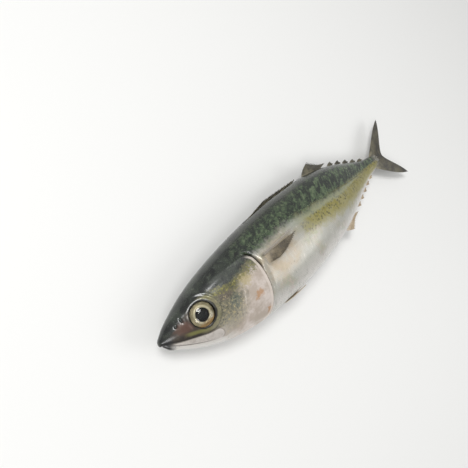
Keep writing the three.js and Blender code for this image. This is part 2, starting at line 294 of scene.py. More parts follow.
def relief(x, y, rise):
    # how far the skin stands out from the plain form, in millimetres
    size = skinRelief
    # gill cover: a plate that stands proud and ends in a slit, and the shoulder behind it
    past = pastEdge(gillEdge, x, y)
    reach = span(y, -26, -22, 8.8, 10.8)
    agape = ramp(y, -3, 3)
    out = reach * np.where(past < 0, size["gillPlate"] * np.exp(past / 5), 0)
    slit = size["gillGroove"] + size["gillSlit"] * agape
    out -= reach * slit * ridge(past - 0.5 - 0.15 * agape, 0.42 + 0.2 * agape)
    out += reach * (past > 0) * size["shoulder"] * ridge(past - 3.2, 1.6) * (1 - ramp(y, 2, 7))
    # cheek plate, the fold in the gill cover and the fold of the throat
    behindCheek = pastEdge(cheekEdge, x, y)
    inCheek = span(y, -24, -20, 3, 5)
    out -= inCheek * size["cheekGroove"] * ridge(behindCheek - 0.3, 0.6)
    out += inCheek * size["cheekPlate"] * np.exp(-np.abs(behindCheek + 1) / 2.5)
    out -= span(x, 38, 41, 52, 54) * size["coverFold"] * ridge(y + 17.5 - 0.28 * (x - 46), 0.6)
    out -= span(x, 18, 24, 46, 50) * size["throatFold"] * ridge((rise - throatLine(x)) * halfDepth(x), 0.5)
    # both jaws: their grooves fade out on the tip of the snout
    belowLip, belowMouth = belowLine(lipLine, x, y), belowLine(mouthLine, x, y)
    blade = jawBlade(x, y)
    offTip = ramp(x, 0.5, 5)
    out += offTip * size["jawBone"] * (1 - ramp(blade, -1.0, 0.1) - ridge(blade - 0.3, 0.35))
    inJaw = 1 - ramp(x, headPlan["jawEnd"] - 2.2, headPlan["jawEnd"])
    out -= offTip * inJaw * size["upperJaw"] * ramp(belowLip, -0.2, 0.5)
    out -= (1 - ramp(x, 19, 23)) * (size["mouth"] + size["mouthInner"] * offTip) * ridge(belowMouth, 0.3)
    out -= (1 - ramp(x, 18, 23)) * size["lowerJaw"] * ramp(belowMouth, 0, 0.8)
    out += size["chin"] * ridge(x - 2.4, 2.2) * ramp(belowMouth, 0.1, 1.1)
    # eye socket, its rim and the fold behind it, the brow and the nostrils
    dx, dy = x - headPlan["eye"][0], y - headPlan["eye"][1]
    outside = np.hypot(dx, dy) - headPlan["eyeRadius"]
    out -= size["socket"] * (1 - ramp(outside, -1.3, 0.15))
    out += size["socketRim"] * ridge(outside - 0.8, 0.8)
    out += size["eyeFold"] * (ridge(outside - 3.2, 0.8) - ridge(outside - 2.3, 0.5)) * ramp(dx, -4, 4)
    out += size["brow"] * span(rise, 0.45, 0.6, 0.7, 0.9) * span(x, 6, 14, 34, 46)
    for (centre, shape, wide, _), depth in zip(headPlan["nostrils"], size["nostrils"]):
        out -= depth * ridge(np.hypot((x - centre[0]) / shape[0], (y - centre[1]) / shape[1]), wide)
    # pectoral pocket: deepest under the upper edge of the fin, with the fleshy root ahead of it
    u, top = alongPectoral(x)
    low = top - pectoralWidth(u)
    out -= size["pocket"] * span(u, -0.02, 0.1, 0.86, 1.02) * ramp(y, low - 1.6, low + 1.4) \
        * (1 - ramp(y, top - 0.2, top + 0.6))
    root = np.hypot((x - finPlan["pectoralRoot"] - 0.6) / 2.4, (y - top + 2.0) / 3.0)
    out += size["finRoot"] * (1 - ramp(root, 0.1, 1.5))
    # lateral line
    onLine = (rise - lateralLine(x)) * halfDepth(x)
    swell = size["lineSwell"] * ridge(onLine, 1.0) - size["lineGroove"] * ridge(onLine, 0.35)
    out += ramp(x, 55, 60) * swell
    # groove of the folded fin, keels at the root of the tail, and the vent
    onBack = (1 - ramp(halfWidth(x) * np.sqrt(1 - rise ** 2), 0.7, 2.2)) * (rise > 0)
    start, end = finPlan["foldedFrom"], finPlan["foldedFrom"] + finPlan["foldedLength"]
    out -= span(x, start - 0.8, start + 0.4, end, end + 2) * size["finGroove"] * onBack
    out += ramp(x, 172, 180) * size["keels"] * (ridge(rise - 0.28, 0.12) + ridge(rise + 0.28, 0.12))
    return out - size["vent"] * ridge(x - 124, 1.2) * ramp(-rise, 0.985, 0.999)


bodyMesh = {
    "headRings": 252,
    "headEnd": 62.0,
    "trunkRings": 112,
    "around": 256,
    "evenness": 0.15,  # brings the points closer together on the flanks
    "endRings": 14,
    "endReach": 5.0,  # how far the flesh runs out over the root of the tail
    "endGrow": 0.06,  # how much taller and thinner it gets on the way, and how far its middle runs ahead
    "endThin": 0.93,
    "endBulge": 0.4,
    "snoutRound": 1.25,  # how far the rounded tip stands ahead of the first section
    "snoutTurn": 0.82,  # angle of the arc that rounds it, which runs into the slope of the head
    "jawShort": 0.6,  # how much less of it the lower jaw has
    "soft": 0.35,  # the skin meets the surface in a soft bend
    "clear": 0.02,
}


def buildBody():
    plan = bodyMesh
    headX = np.linspace(0, plan["headEnd"], plan["headRings"], endpoint=False)
    trunkX = np.linspace(plan["headEnd"], bodyLength, plan["trunkRings"])
    turn = plan["snoutTurn"]
    tip = np.linspace(0.08, 1, 7)[:-1] * turn
    end = np.linspace(0, 1, plan["endRings"] + 1)[1:]
    xs = np.concatenate([0 * tip, headX, trunkX, bodyLength + 0 * end])
    plain = np.ones(len(headX) + len(trunkX))
    tipScale = np.sin(tip) / np.sin(turn)
    tipAhead = plan["snoutRound"] * (np.cos(tip) - np.cos(turn)) / (1 - np.cos(turn))
    tall = np.concatenate([tipScale, plain, 1 + plan["endGrow"] * end])[:, None]
    thick = np.concatenate([tipScale, plain, 1 - plan["endThin"] * end ** 0.8])[:, None]
    shift = np.concatenate([-tipAhead, 0 * plain, plan["endReach"] * end])[:, None]
    count, around = len(xs), plan["around"]
    angle = -np.pi / 2 + 2 * np.pi * np.arange(around) / around
    angle = angle - plan["evenness"] * np.sin(2 * angle)
    x = np.repeat(xs[:, None], around, 1)
    rise = np.repeat(np.sin(angle)[None], count, 0)
    y = middle(x) + halfDepth(x) * rise * tall
    z = halfWidth(x) * np.cos(angle)[None] * fullness(rise) * thick
    bulge = plan["endReach"] * plan["endBulge"] * (1 - rise ** 2) * (shift > 0)
    jaw = 1 - plan["jawShort"] * ramp(belowLine(mouthLine, x, y), -0.4, 0.4)
    points = np.stack([x + np.where(shift < 0, shift * jaw, shift) + bulge, y, z], -1)
    beside = np.roll(points, -1, 1)
    normal = np.cross(beside - np.roll(points, 1, 1), np.gradient(points, axis=0))
    normal /= np.linalg.norm(normal, axis=-1, keepdims=True) + 1e-9
    normal *= np.sign(normal[count // 2, around // 4, 2])
    girth = np.linalg.norm(beside - points, axis=-1)
    points = points + normal * relief(x, y, rise)[..., None]
    floorZ, soft = table + plan["clear"], plan["soft"]
    lift = points[..., 2] + sag(points[..., 0]) - floorZ
    bend = soft * np.log1p(np.exp(np.clip(lift / soft, -40, 30)))
    points[..., 2] = floorZ + np.where(lift < 4 * soft, bend, lift)
    total = np.concatenate([np.zeros((count, 1)), np.cumsum(girth, 1)], 1)
    total -= total[:, around // 2][:, None]  # zero along the back
    ends = [points[0].mean(0), points[-1].mean(0)]
    points = np.vstack([points.reshape(-1, 3), ends])
    hub = len(points) - 2
    faces = ringQuads(count, around) + fan(hub, 0, around) + fan(hub + 1, (count - 1) * around, around, True)
    near, far = total[:, :-1], total[:, 1:]
    corners = ((x[:-1], near[:-1]), (x[1:], near[1:]), (x[1:], far[1:]), (x[:-1], far[:-1]))
    uv = [np.stack([np.stack(corner, -1) for corner in corners], 2).reshape(-1, 2)]
    for ring in (0, -1):
        across = np.stack([0 * near[ring], near[ring], far[ring]], -1).ravel()
        uv.append(np.stack([0 * across + xs[ring], across], -1))
    fields = {
        "rise": rise,
        "backPast": rise - backBorder(x),
        "bandPast": rise - bandBorder(x),
        "gillPast": pastEdge(gillEdge, x, y),
        "cheekPast": pastEdge(cheekEdge, x, y),
        "belowLip": belowLine(lipLine, x, y),
        "belowMouth": belowLine(mouthLine, x, y),
        "jawPast": jawBlade(x, y),
        "slitDark": slitShade(x, y),
        "finShade": pocketShade(x, y),
        "tailEnd": ramp(x + shift, bodyLength - 4, bodyLength + 4),
    }
    fields = {key: np.append(value.ravel(), value[[0, -1], 0]) for key, value in fields.items()}
    return makeMesh("mackerelBody", toFrame(points), faces, fields, uv=np.concatenate(uv) / 100)


body = buildBody()
print("body", len(body.data.polygons))


def hue(code):
    # a screen colour as the shader's linear colour
    parts = [int(code[i:i + 2], 16) / 255 for i in (0, 2, 4)]
    return tuple(p / 12.92 if p < 0.04045 else ((p + 0.055) / 1.055) ** 2.4 for p in parts) + (1.0,)


class Wire:
    # a socket that takes part in sums
    def __init__(self, graph, socket):
        self.graph, self.socket = graph, socket

    def calc(self, operation, *others):
        return self.graph.node("ShaderNodeMath", {"operation": operation}, dict(enumerate((self, *others))))

    def tap(self, name):  # another output of the same node
        return Wire(self.graph, self.socket.node.outputs[name])

    def __add__(self, other):
        return self.calc("ADD", other)

    def __sub__(self, other):
        return self.calc("SUBTRACT", other)

    def __rsub__(self, other):
        return self.graph.node("ShaderNodeMath", {"operation": "SUBTRACT"}, {0: other, 1: self})

    def __mul__(self, other):
        return self.calc("MULTIPLY", other)

    def __truediv__(self, other):
        return self.calc("DIVIDE", other)

    def __pow__(self, other):
        return self.calc("POWER", other)

    def __neg__(self):
        return self.calc("MULTIPLY", -1)

    __radd__ = __add__
    __rmul__ = __mul__


class Graph:
    # a node tree and the way nodes are added to it
    def __init__(self, tree):
        self.tree = tree

    def plug(self, socket, value):
        if isinstance(value, list):
            for part in value:
                self.plug(socket, part)
        elif isinstance(value, Wire):
            self.tree.links.new(value.socket, socket)
        else:
            socket.default_value = hue(value) if socket.type == "RGBA" and isinstance(value, str) else value

    def node(self, kind, settings=None, values=None, output=0):
        made = self.tree.nodes.new(kind)
        for key, value in (settings or {}).items():
            setattr(made, key, value)
        for key, value in (values or {}).items():
            self.plug(made.inputs[key], value)
        return Wire(self, made.outputs[output]) if len(made.outputs) else made


class Paint(Graph):
    # one material; sizes are in millimetres
    def __init__(self, name):
        self.material = bpy.data.materials.new(name)
        self.material.use_nodes = True
        super().__init__(self.material.node_tree)
        self.spot = self.node("ShaderNodeTexCoord", output=3)

    def set(self, **values):
        for key, value in values.items():
            self.plug(self.tree.nodes["Principled BSDF"].inputs[key.replace("_", " ")], value)
        return self.material

    def attribute(self, name):
        return self.node("ShaderNodeAttribute", {"attribute_name": name}, output=2)

    def axis(self, i):  # distance from the snout along one of the fish's axes
        return (self.node("ShaderNodeSeparateXYZ", None, {0: self.spot}, output=i) - snout[i]) / mm

    def clamp(self, wire, low, high):  # 0 below low, 1 above high, smooth between
        smooth = {"interpolation_type": "SMOOTHSTEP"}
        return self.node("ShaderNodeMapRange", smooth, {0: wire, 1: low, 2: high})

    def band(self, wire, low, high, soft):  # 1 between low and high
        return self.clamp(wire, low - soft, low + soft) * (1 - self.clamp(wire, high - soft, high + soft))

    def stretch(self, scale, turn=0.0, kind="POINT"):
        values = {0: self.spot, 2: (0, 0, turn), 3: scale}
        return self.node("ShaderNodeMapping", {"vector_type": kind}, values)

    def noise(self, size, detail=2.0, rough=0.5, vector=None, distortion=0.0):  # about zero
        values = {"Scale": 1 / (size * mm), "Detail": detail, "Roughness": rough, "Distortion": distortion}
        return self.node("ShaderNodeTexNoise", None, {**values, "Vector": vector or self.spot}) - 0.5

    def bump(self, strength, distance, height):
        values = {"Strength": strength, "Distance": distance * mm, "Height": height}
        return self.node("ShaderNodeBump", None, values)

    def mix(self, share, first, second):
        return self.node("ShaderNodeMix", {"data_type": "RGBA"}, {0: share, 6: first, 7: second}, output=2)

    def lay(self, colour, *coats):  # each coat is a share and a colour, laid over the ones before
        for share, coat in coats:
            colour = self.mix(share, colour, coat)
        return colour


studio = {
    "floor": "eeeeec",
    "floorReach": 3.0,
    "worldStrength": 0.4,
    "lights": [  # place from the middle of the fish, size, power, in metres and watts
        ("keyLight", (-0.2, 0.35, 0.7), 0.32, 3.3),
        ("fillLight", (0.5, -0.5, 0.6), 0.5, 1.7),
        ("headLight", (-0.55, -0.15, 0.5), 0.25, 1.1),
    ],
}


def buildStudio():
    reach = studio["floorReach"]
    corners = [(-reach, -reach, 0), (reach, -reach, 0), (reach, reach, 0), (-reach, reach, 0)]
    floor = makeMesh("floor", corners, [(0, 1, 2, 3)])
    floor.data.materials.append(Paint("paleFloor").set(Base_Color=studio["floor"], Roughness=0.6))
    world = bpy.data.worlds.new("softWorld")
    world.use_nodes = True
    background = world.node_tree.nodes["Background"].inputs
    background[0].default_value = (1, 1, 1, 1)
    background[1].default_value = studio["worldStrength"]
    bpy.context.scene.world = world
    for name, place, size, power in studio["lights"]:
        light = bpy.data.lights.new(name, "AREA")
        light.shape = "DISK"
        light.size = size
        light.energy = power
        lamp = makeObject(name, light)
        lamp.location = place
        lamp.rotation_euler = (-Vector(place)).to_track_quat("-Z", "Y").to_euler()
    bpy.context.scene.view_settings.view_transform = "Standard"


cameraView = {
    "azimuth": -99.2,
    "elevation": 59.5,
    "roll": 63.9,
    "lens": 31.5,
    "nearest": 0.01,
    "place": (-43.0, 35.8, 180.5),  # from the snout, in fish millimetres
}


def buildCamera():
    az, el, roll = (math.radians(cameraView[k]) for k in ("azimuth", "elevation", "roll"))
    backward = Vector((math.sin(az) * math.cos(el), -math.cos(az) * math.cos(el), math.sin(el)))
    level = Vector((math.cos(az), math.sin(az), 0))
    right = level * math.cos(roll) + backward.cross(level) * math.sin(roll)
    data = bpy.data.cameras.new("camera")
    data.lens = cameraView["lens"]
    data.clip_start = cameraView["nearest"]
    camera = makeObject("camera", data)
    turn = Matrix((right, backward.cross(right), backward)).transposed().to_4x4()
    camera.matrix_world = Matrix.Translation(Vector(toFrame(cameraView["place"]))) @ turn
    bpy.context.scene.camera = camera


buildStudio()
buildCamera()
print("studio and camera")

skinLook = {
    "scaleLength": 1.15,  # millimetres
    "scaleWidth": 0.95,
    "dotSpacing": 1.9,
    "back": {"dark": "252c25", "green": "44543c", "pale": "6b785b", "fleck": "9da38a", "ridge": "2a2c27"},
    "band": {"gold": "8a8233", "pale": "9d9661", "dot": "3a381c", "stripe": "a0a795"},
    "flank": {"silver": "b3b2a9", "warm": "aea791", "net": "777970", "belly": "d3cfc9", "peach": "b09a7c",
              "rust": "86493a", "paintedGlint": "e6e4dc", "paintedDimStreak": "8f9087", "speck": "5b5040", "rose": "c4b2b4",
              "sea": "a6b6a8"},
    "crown": {"dark": "181b19", "green": "343a32", "paintedSheen": "6a736c"},
    "cheek": {"grey": "827d6b", "green": "5f614d", "olive": "47472f", "gold": "bdae80", "speck": "2f2e24",
              "plum": "6d6059", "pale": "a9a394", "moss": "6f6c2c", "lime": "a09a5c", "blue": "6c736c"},
    "opercle": {"pearl": "d6cbc3", "shade": "b7aa9d", "rim": "ddd2c8", "stain": "b07f4c", "paintedSlitShade": "1c1110",
                "pocketShadow": "40342a"},
    "face": {"dark": "453c30", "russet": "573a2d", "olive": "7b7a40", "line": "2a231c", "tip": "0e1011"},
    "jaw": {"upper": "c6bfb8", "shade": "aea69e", "rim": "8a8078", "lower": "d3cfc9", "pore": "4a4440",
            "mouthCreaseShade": "3a2c27"},
    "tailFlesh": {"web": "85806b", "ray": "4f4b3d"},
    "socket": {"ring": "1d1c15", "rim": "857f5c", "arc": "37362a"},
}


def skinPaint():
    paint = Paint("wetSkin")
    clamp, band, mix, lay = paint.clamp, paint.band, paint.mix, paint.lay
    noise, field = paint.noise, paint.attribute
    x, y = paint.axis(0), paint.axis(1)
    rise, backPast, bandPast, gillPast = map(field, ("rise", "backPast", "bandPast", "gillPast"))
    broad = noise(9, 2)
    mottle = noise(4.2, 4, 0.6, distortion=0.6)
    fleck = noise(1.3, 3, 0.6)
    fine = noise(0.8, 4, 0.7)
    grain = noise(0.7, 3, 0.6)
    trunk = clamp(gillPast, -0.1, 0.5)
    cells = {"Vector": paint.spot, "Scale": 1 / (skinLook["dotSpacing"] * mm)}
    dots = paint.node("ShaderNodeTexVoronoi", {"feature": "F1"}, cells)

    # scales: rows of rounded plates, each over the next one behind
    uv = paint.node("ShaderNodeUVMap", {"uv_map": "skinMap"})
    u = paint.node("ShaderNodeSeparateXYZ", None, {0: uv})
    v = u.tap("Y") * (100 / skinLook["scaleWidth"])
    u = u * (100 / skinLook["scaleLength"])
    acrossScale = v.calc("FRACT") - 0.5
    row = u + v.calc("FLOOR") * 0.5 + acrossScale * acrossScale * 1.5 + mottle * 0.35
    plate = row.calc("FRACT")
    cell = paint.node("ShaderNodeCombineXYZ", None, {0: row.calc("FLOOR"), 1: v.calc("FLOOR")})
    chance = paint.node("ShaderNodeTexWhiteNoise", {"noise_dimensions": "2D"}, {"Vector": cell}) - 0.5
    net = (1 - clamp(plate, 0.0, 0.3)) * 0.75 + clamp(acrossScale.calc("ABSOLUTE"), 0.3, 0.5) * 0.35
    net = net * trunk

    def blot(centre, size, low, high, stray=0, turn=0.0):
        # 1 inside a rounded patch whose edge strays
        c, s = math.cos(turn), math.sin(turn)
        dx, dy = x - centre[0], y - centre[1]
        along, across = (dx * c + dy * s) / size[0], (dy * c - dx * s) / size[1]
        return 1 - clamp((along * along + across * across) ** 0.5 + stray, low, high)

    def flankColour():
        look = skinLook["flank"]
        # streaks that set painted highlights and painted shade across the scales
        streaks = noise(1.1, 3, 0.6, paint.stretch((1, 0.16, 0.3), 0.3))
        tan = band(x, 56, 82, 8) * band(rise, -0.42, 0.3, 0.16) * clamp(mottle + broad * 0.5, -0.3, 0.15)
        rust = band(x, 76, 104, 7) * band(rise, -1.05, -0.96, 0.02) * clamp(fleck + mottle, -0.2, 0.15)
        return lay(
            look["silver"],
            (clamp(broad, -0.08, 0.2), look["warm"]),
            (clamp(rise + broad * 0.3, -0.5, -0.85), look["belly"]),
            (clamp(broad + fleck, -0.1, 0.3) * 0.4,
             mix(clamp(mottle - chance * 0.2, -0.1, 0.1), look["rose"], look["sea"])),
            (net * (0.5 + fleck * 1.1), look["net"]),
            # painted highlight and painted shade in streaks over the scales
            (clamp(streaks + chance * 0.16, 0.08, 0.3) * 0.6, look["paintedGlint"]),
            (clamp(streaks - chance * 0.2, -0.08, -0.3) * 0.6, look["paintedDimStreak"]),
            (tan * 0.65, look["peach"]),
            (tan * clamp(fleck, 0.12, 0.24) * 0.7, look["speck"]),
            (rust * 0.5, look["rust"]))

    def bandColour():
        # the yellow band, with its specks densest near the back
        look = skinLook["band"]
        upper = clamp(backPast + broad * 0.9, -0.6, -0.22)
        return lay(
            mix(clamp(mottle + fleck * 0.6, -0.2, 0.22), look["gold"], look["pale"]),
            ((1 - clamp(dots + fleck * 0.6, 0.14, 0.4)) * upper * 0.85, look["dot"]),
            (clamp(chance + mottle + fleck * 0.5, 0.3, 0.46) * upper * 0.6, look["dot"]))

    def backColour():
        # fine spots ahead and longer waves behind, leaning towards the tail as they climb
        look = skinLook["back"]
        spots = noise(1.7, 3, 0.6, paint.stretch((1.9, 1, 1.2), 0.8, "TEXTURE"), 0.5)
        waves = noise(2.6, 2, 0.5, paint.stretch((3.2, 1, 1.5), 0.8, "TEXTURE"), 0.7) * 1.8
        behind = clamp(x + mottle * 20, 86, 118)
        bars = spots * (1 - behind) + waves * behind
        return lay(
            mix(clamp(bars + mottle * 0.6, -0.12, 0.14), look["dark"], look["green"]),
            (clamp(fleck + bars * 0.5, 0.0, 0.22) * 0.65, look["pale"]),
            (clamp(fleck, 0.17, 0.3) * 0.6, look["fleck"]),
            (clamp(rise + broad * 0.12, 0.76, 0.92) * 0.85, look["ridge"]))

    def crownColour():
        look = skinLook["crown"]
        # dark crown with a painted sheen of light in its flecks
        return lay(mix(clamp(mottle + broad, -0.2, 0.25), look["dark"], look["green"]),
                   (clamp(fleck + mottle * 0.4, 0.1, 0.3) * 0.5, look["paintedSheen"]))

    def cheekColour():
        look = skinLook["cheek"]
        yellow = band(x + y * 0.4, 30, 40, 3) * band(y, -13, -8, 2) * clamp(fleck + fine, -0.05, 0.2)
        return lay(
            mix(clamp(mottle + fleck * 0.5, -0.15, 0.2), look["green"], look["grey"]),
            (blot((34, 0.5), (5, 4), 0.5, 1.1, mottle) * 0.6, look["plum"]),
            (clamp(y + mottle * 8, -5, -13) * 0.7, look["pale"]),
            (blot((36.5, -5.5), (4.5, 3.2), 0.4, 1.2, mottle + fleck, 0.5) * 0.55, look["blue"]),
            (clamp(fine + fleck * 0.5, 0.03, 0.19) * 0.8, look["gold"]),
            (clamp(-fine - fleck * 0.5, 0.03, 0.21) * 0.75, look["speck"]),
            (yellow * 0.6, look["gold"]))

    def faceColour(belowLip):
        # ahead of the eye
        look = skinLook["face"]
        return lay(
            mix(clamp(mottle + fleck * 0.5, -0.2, 0.2), look["line"], look["dark"]),
            (blot((11, -1.2), (5.6, 3.4), 0.35, 1.05, fleck, -0.25) * 0.85, look["russet"]),
            (band(belowLip, -3.0, -1.5, 0.45) * band(x, 10.5, 26, 2) * 0.75, look["olive"]),
            # painted shade in the crease above the upper jaw
            (band(belowLip, -1.1, 0.1, 0.3), look["line"]))

    def headColour():
        belowLip, belowMouth, jawPast = map(field, ("belowLip", "belowMouth", "jawPast"))
        cheek, opercle, face = skinLook["cheek"], skinLook["opercle"], skinLook["face"]
        jaw, socket = skinLook["jaw"], skinLook["socket"]
        pearl = mix(clamp(broad + fleck * 0.4, -0.12, 0.2), opercle["shade"], opercle["pearl"])
        pale = clamp(field("cheekPast") + mottle * 8 + fleck * 5, -6, 4)
        pale = pale + clamp(y + mottle * 6 + fleck * 4 + x * 0.25, -3, -11) * 0.8
        olive = band(backPast + mottle * 0.3 + fine * 0.5, -0.17, 0.1, 0.1) * clamp(x, 20, 26)
        moss = lay(mix(clamp(fine + fleck * 0.4, -0.08, 0.1), cheek["olive"], cheek["moss"]),
                   (clamp(fine + fleck, 0.12, 0.26) * 0.65, cheek["lime"]))
        stain = mottle * 2.4 + fleck
        ahead = (1 - clamp(x + mottle * 2, 18.5, 22.5)) * (1 - clamp(belowLip, -0.2, 0.25))
        underLip = clamp(belowLip, 0, 0.4) * (1 - clamp(x + mottle * 4, 21, 30))
        bone = mix(clamp(fleck + broad, -0.15, 0.25), jaw["upper"], jaw["shade"])
        pores = (1 - clamp(dots, 0.08, 0.16)) * clamp(fleck, -0.05, 0.08)
        inLower = clamp(belowMouth, 0, 0.5) * (1 - clamp(x + mottle * 5, 22, 33))
        dx, dy = x - headPlan["eye"][0], y - headPlan["eye"][1]
        away = (dx * dx + dy * dy) ** 0.5
        behind = clamp(x - y * 0.3, 17, 21)
        return lay(
            cheekColour(),
            (pale.calc("MINIMUM", 1), pearl),
            # olive border under the crown, bright patch at the top of the gill cover, stains
            (olive * 0.9, moss),
            (blot((46, -0.4), (3.8, 3.4), 0.4, 1.2, fleck * 2.4 + fine * 2) * 0.6, cheek["gold"]),
            (blot((48.3, -10.3), (2.6, 2.2), 0.35, 1.2, stain) * 0.7, opercle["stain"]),
            (blot((51.3, -20.6), (2.2, 2.6), 0.35, 1.2, stain) * 0.7, opercle["stain"]),
            (ahead, faceColour(belowLip)),
            # painted shade in the crease above the upper jaw, under the eye
            (band(belowLip, -1.2, 0.1, 0.3) * band(x, 18, 24, 2) * 0.6, face["line"]),
            # jaws, from the upper one down
            (underLip * 0.75, jaw["upper"]),
            (band(jawPast, 0.0, 0.5, 0.15) * 0.55, jaw["rim"]),
            (1 - clamp(jawPast, -0.25, 0.1), bone),
            (inLower, mix(pores, jaw["lower"], jaw["pore"])),
            # painted shade in the crease of the mouth, between the jaws
            (band(belowMouth, -0.25, 0.2, 0.14) * (1 - clamp(x, 6, 24)) * 0.9, jaw["mouthCreaseShade"]),
            (1 - clamp(x + belowMouth * 0.22 + fleck * 1.5, 1.6, 5.2), face["tip"]),
            # rings round the eye, and painted shade in the nostril pits
            (band(away + fleck * 1.4, 6.8, 8.6, 0.5) * behind * 0.5, socket["rim"]),
            (band(away + fleck * 0.8, 8.7, 9.2, 0.3) * behind * 0.5, socket["arc"]),
            (1 - clamp(away + fleck * 0.5 - behind * 0.5, 6.0, 6.6), socket["ring"]),
            *((blot(spot[0], spot[3], 0.7, 1.4), face["tip"]) for spot in headPlan["nostrils"]))

    inBand = clamp(bandPast + mottle * 0.5, -0.16, 0.2) * clamp(x + broad * 24, 78, 100)
    stripe = band(backPast + fleck * 0.12 + mottle * 0.1, -0.13, 0.05, 0.05) * band(x, 84, 158, 14)
    side = lay(flankColour(), (inBand * 0.94, bandColour()), (stripe * 0.6, skinLook["band"]["stripe"]))
    border = 0.06 + clamp(x, 40, 70) * 0.07
    onBack = clamp((backPast + mottle * 0.3 + fleck * 0.15) / border, -0.9, 0.9)
    opercle, flesh = skinLook["opercle"], skinLook["tailFlesh"]
    streaks = noise(0.8, 2, 0.5, paint.stretch((0.12, 1, 1)))
    colour = lay(
        mix(trunk, headColour(), side),
        (onBack, mix(clamp(x + mottle * 24, 42, 64), crownColour(), backColour())),
        (band(gillPast, -1.5, -0.1, 0.3) * (1 - clamp(y, 6, 9)) * 0.75, opercle["rim"]),
        (band(gillPast, -0.1, 0.75, 0.2) * (1 - clamp(y, 4, 8)) * 0.5, skinLook["face"]["russet"]),
        # painted shade inside the open gill slit
        (clamp(field("slitDark"), 0.2, 0.8) * 0.9, opercle["paintedSlitShade"]),
        # painted shadow along the upper edge of the pectoral fin
        (field("finShade") * 0.8, opercle["pocketShadow"]),
        (clamp(field("tailEnd") + mottle * 0.9 + fleck * 0.4, 0.0, 0.95),
         mix(clamp(streaks + fleck * 0.4, -0.12, 0.16), flesh["ray"], flesh["web"])))
    roughness = 0.35 - onBack * 0.09 + grain * 0.12 + net * 0.08 + chance * 0.1 * trunk
    height = plate * 0.5 * trunk + grain * 0.25 + fleck * 0.3
    silver = (1 - onBack) * (0.4 + trunk * 0.1)
    return paint.set(Base_Color=colour, Roughness=roughness, Metallic=silver * 0.5,
                     Normal=paint.bump(0.5, 0.06, height), Coat_Weight=0.6, Coat_Roughness=0.16)


addPiece(body, ["body"], "skin", skinPaint())
print("skin")

eyePlan = {
    "iris": [  # distance from the axis, height along it
        (0.0, 2.95), (1.1, 2.82), (2.0, 2.46), (2.7, 2.02), (3.02, 1.75), (3.12, 1.9), (3.18, 2.35),
        (3.3, 2.6), (3.7, 2.68), (4.4, 2.5), (5.1, 2.2), (5.6, 1.9), (5.9, 1.5), (6.1, 0.9), (6.15, 0.2),
        (5.8, -1.4), (4.2, -2.8), (0.0, -3.4),
    ],
    "cornea": [
        (0.0, 3.8), (1.6, 3.68), (3.2, 3.3), (4.6, 2.72), (5.6, 2.06), (6.15, 1.4), (6.3, 0.8), (6.1, 0.8),
        (5.95, 1.3), (5.45, 1.9), (4.5, 2.54), (3.1, 3.1), (1.6, 3.46), (0.0, 3.58),
    ],
    "around": 96,
    "rounds": 2,
    "skinReach": 4.2,  # the eye looks along the skin's slope over this distance
}
irisLook = {
    "pupil": "05070a", "haze": "10151e", "ring": "ddd6bf", "tan": "aea486", "shade": "857c62",
    "gold": "bd9050", "edge": "1d1b14",
}


def lathe(name, profile, side):
    # turns a profile about the eye's own axis
    for _ in range(eyePlan["rounds"]):  # rounds it by cutting its corners, and keeps its ends on the axis
        ends = np.array(profile)
        cuts = np.stack([ends[:-1] * 0.75 + ends[1:] * 0.25, ends[:-1] * 0.25 + ends[1:] * 0.75], 1)
        profile = np.vstack([ends[:1], cuts.reshape(-1, 2), ends[-1:]])
    low, high = fishBox("left_eye" if side > 0 else "right_eye")
    centre, reach = (low + high) / 2, eyePlan["skinReach"]

    def skin(dx, dy):
        x = centre[0] + dx
        return float(flank(x, centre[1] + dy, side) - sag(x))

    slopes = [skin(reach, 0) - skin(-reach, 0), skin(0, reach) - skin(0, -reach)]
    look = Vector((*(-slope / (2 * reach) * side for slope in slopes), side)).normalized()
    turn = np.array(look.to_track_quat("Z", "Y").to_matrix())
    around = eyePlan["around"]
    angle = 2 * np.pi * np.arange(around) / around
    inner = profile[1:-1]
    rings = np.stack([np.outer(inner[:, 0], np.cos(angle)), np.outer(inner[:, 0], np.sin(angle)),
                      inner[:, 1:].repeat(around, 1)], -1).reshape(-1, 3)
    ends = [(0, 0, profile[0][1]), (0, 0, profile[-1][1])]
    points = np.vstack([rings, ends]) @ turn.T + centre
    away = np.append(inner[:, 0].repeat(around), [0, 0])
    top = len(rings)
    faces = ringQuads(len(inner), around) + fan(top, 0, around) + fan(top + 1, top - around, around, True)
    return makeMesh(name, toFrame(points), faces, {"away": away})


def irisPaint():
    paint = Paint("eyeIris")
    clamp, mix, look = paint.clamp, paint.mix, irisLook
    away = paint.attribute("away")
    blotch = paint.noise(2.2, 4, 0.6)
    fine = paint.noise(0.35, 3, 0.7)
    iris = paint.lay(
        mix(clamp(blotch + fine * 0.5, -0.2, 0.2), look["shade"], look["tan"]),
        (1 - clamp(away + blotch * 1.5, 3.6, 4.7), look["ring"]),
        (clamp(paint.axis(1) + blotch * 3, -3.4, -5.4) * 0.6, look["gold"]),
        (clamp(away + fine * 0.3, 5.45, 5.8), look["edge"]))
    colour = mix(clamp(away, 3.1, 3.24), mix(clamp(away, 0.4, 2.6), look["haze"], look["pupil"]), iris)
    return paint.set(Base_Color=colour, Roughness=0.4 + fine * 0.15, Metallic=clamp(away, 3.1, 3.3) * 0.2,
                     Normal=paint.bump(0.4, 0.05, fine + blotch), Specular_IOR_Level=0.25)


def corneaPaint():
    paint = Paint("clearCornea")
    haze = 0.02 + paint.noise(3, 3) * 0.04
    return paint.set(Base_Color="f4f3ec", Roughness=haze, Normal=paint.bump(0.1, 0.03, paint.noise(1.5, 2)),
                     IOR=1.34, Transmission_Weight=1.0)


irisMaterial, corneaMaterial = irisPaint(), corneaPaint()
for side, word in ((1, "left"), (-1, "right")):
    addPiece(lathe(word + "Iris", eyePlan["iris"], side), [word + "_eye"], "eye", irisMaterial)
    addPiece(lathe(word + "Cornea", eyePlan["cornea"], side), [], "eye", corneaMaterial)
print("eyes")


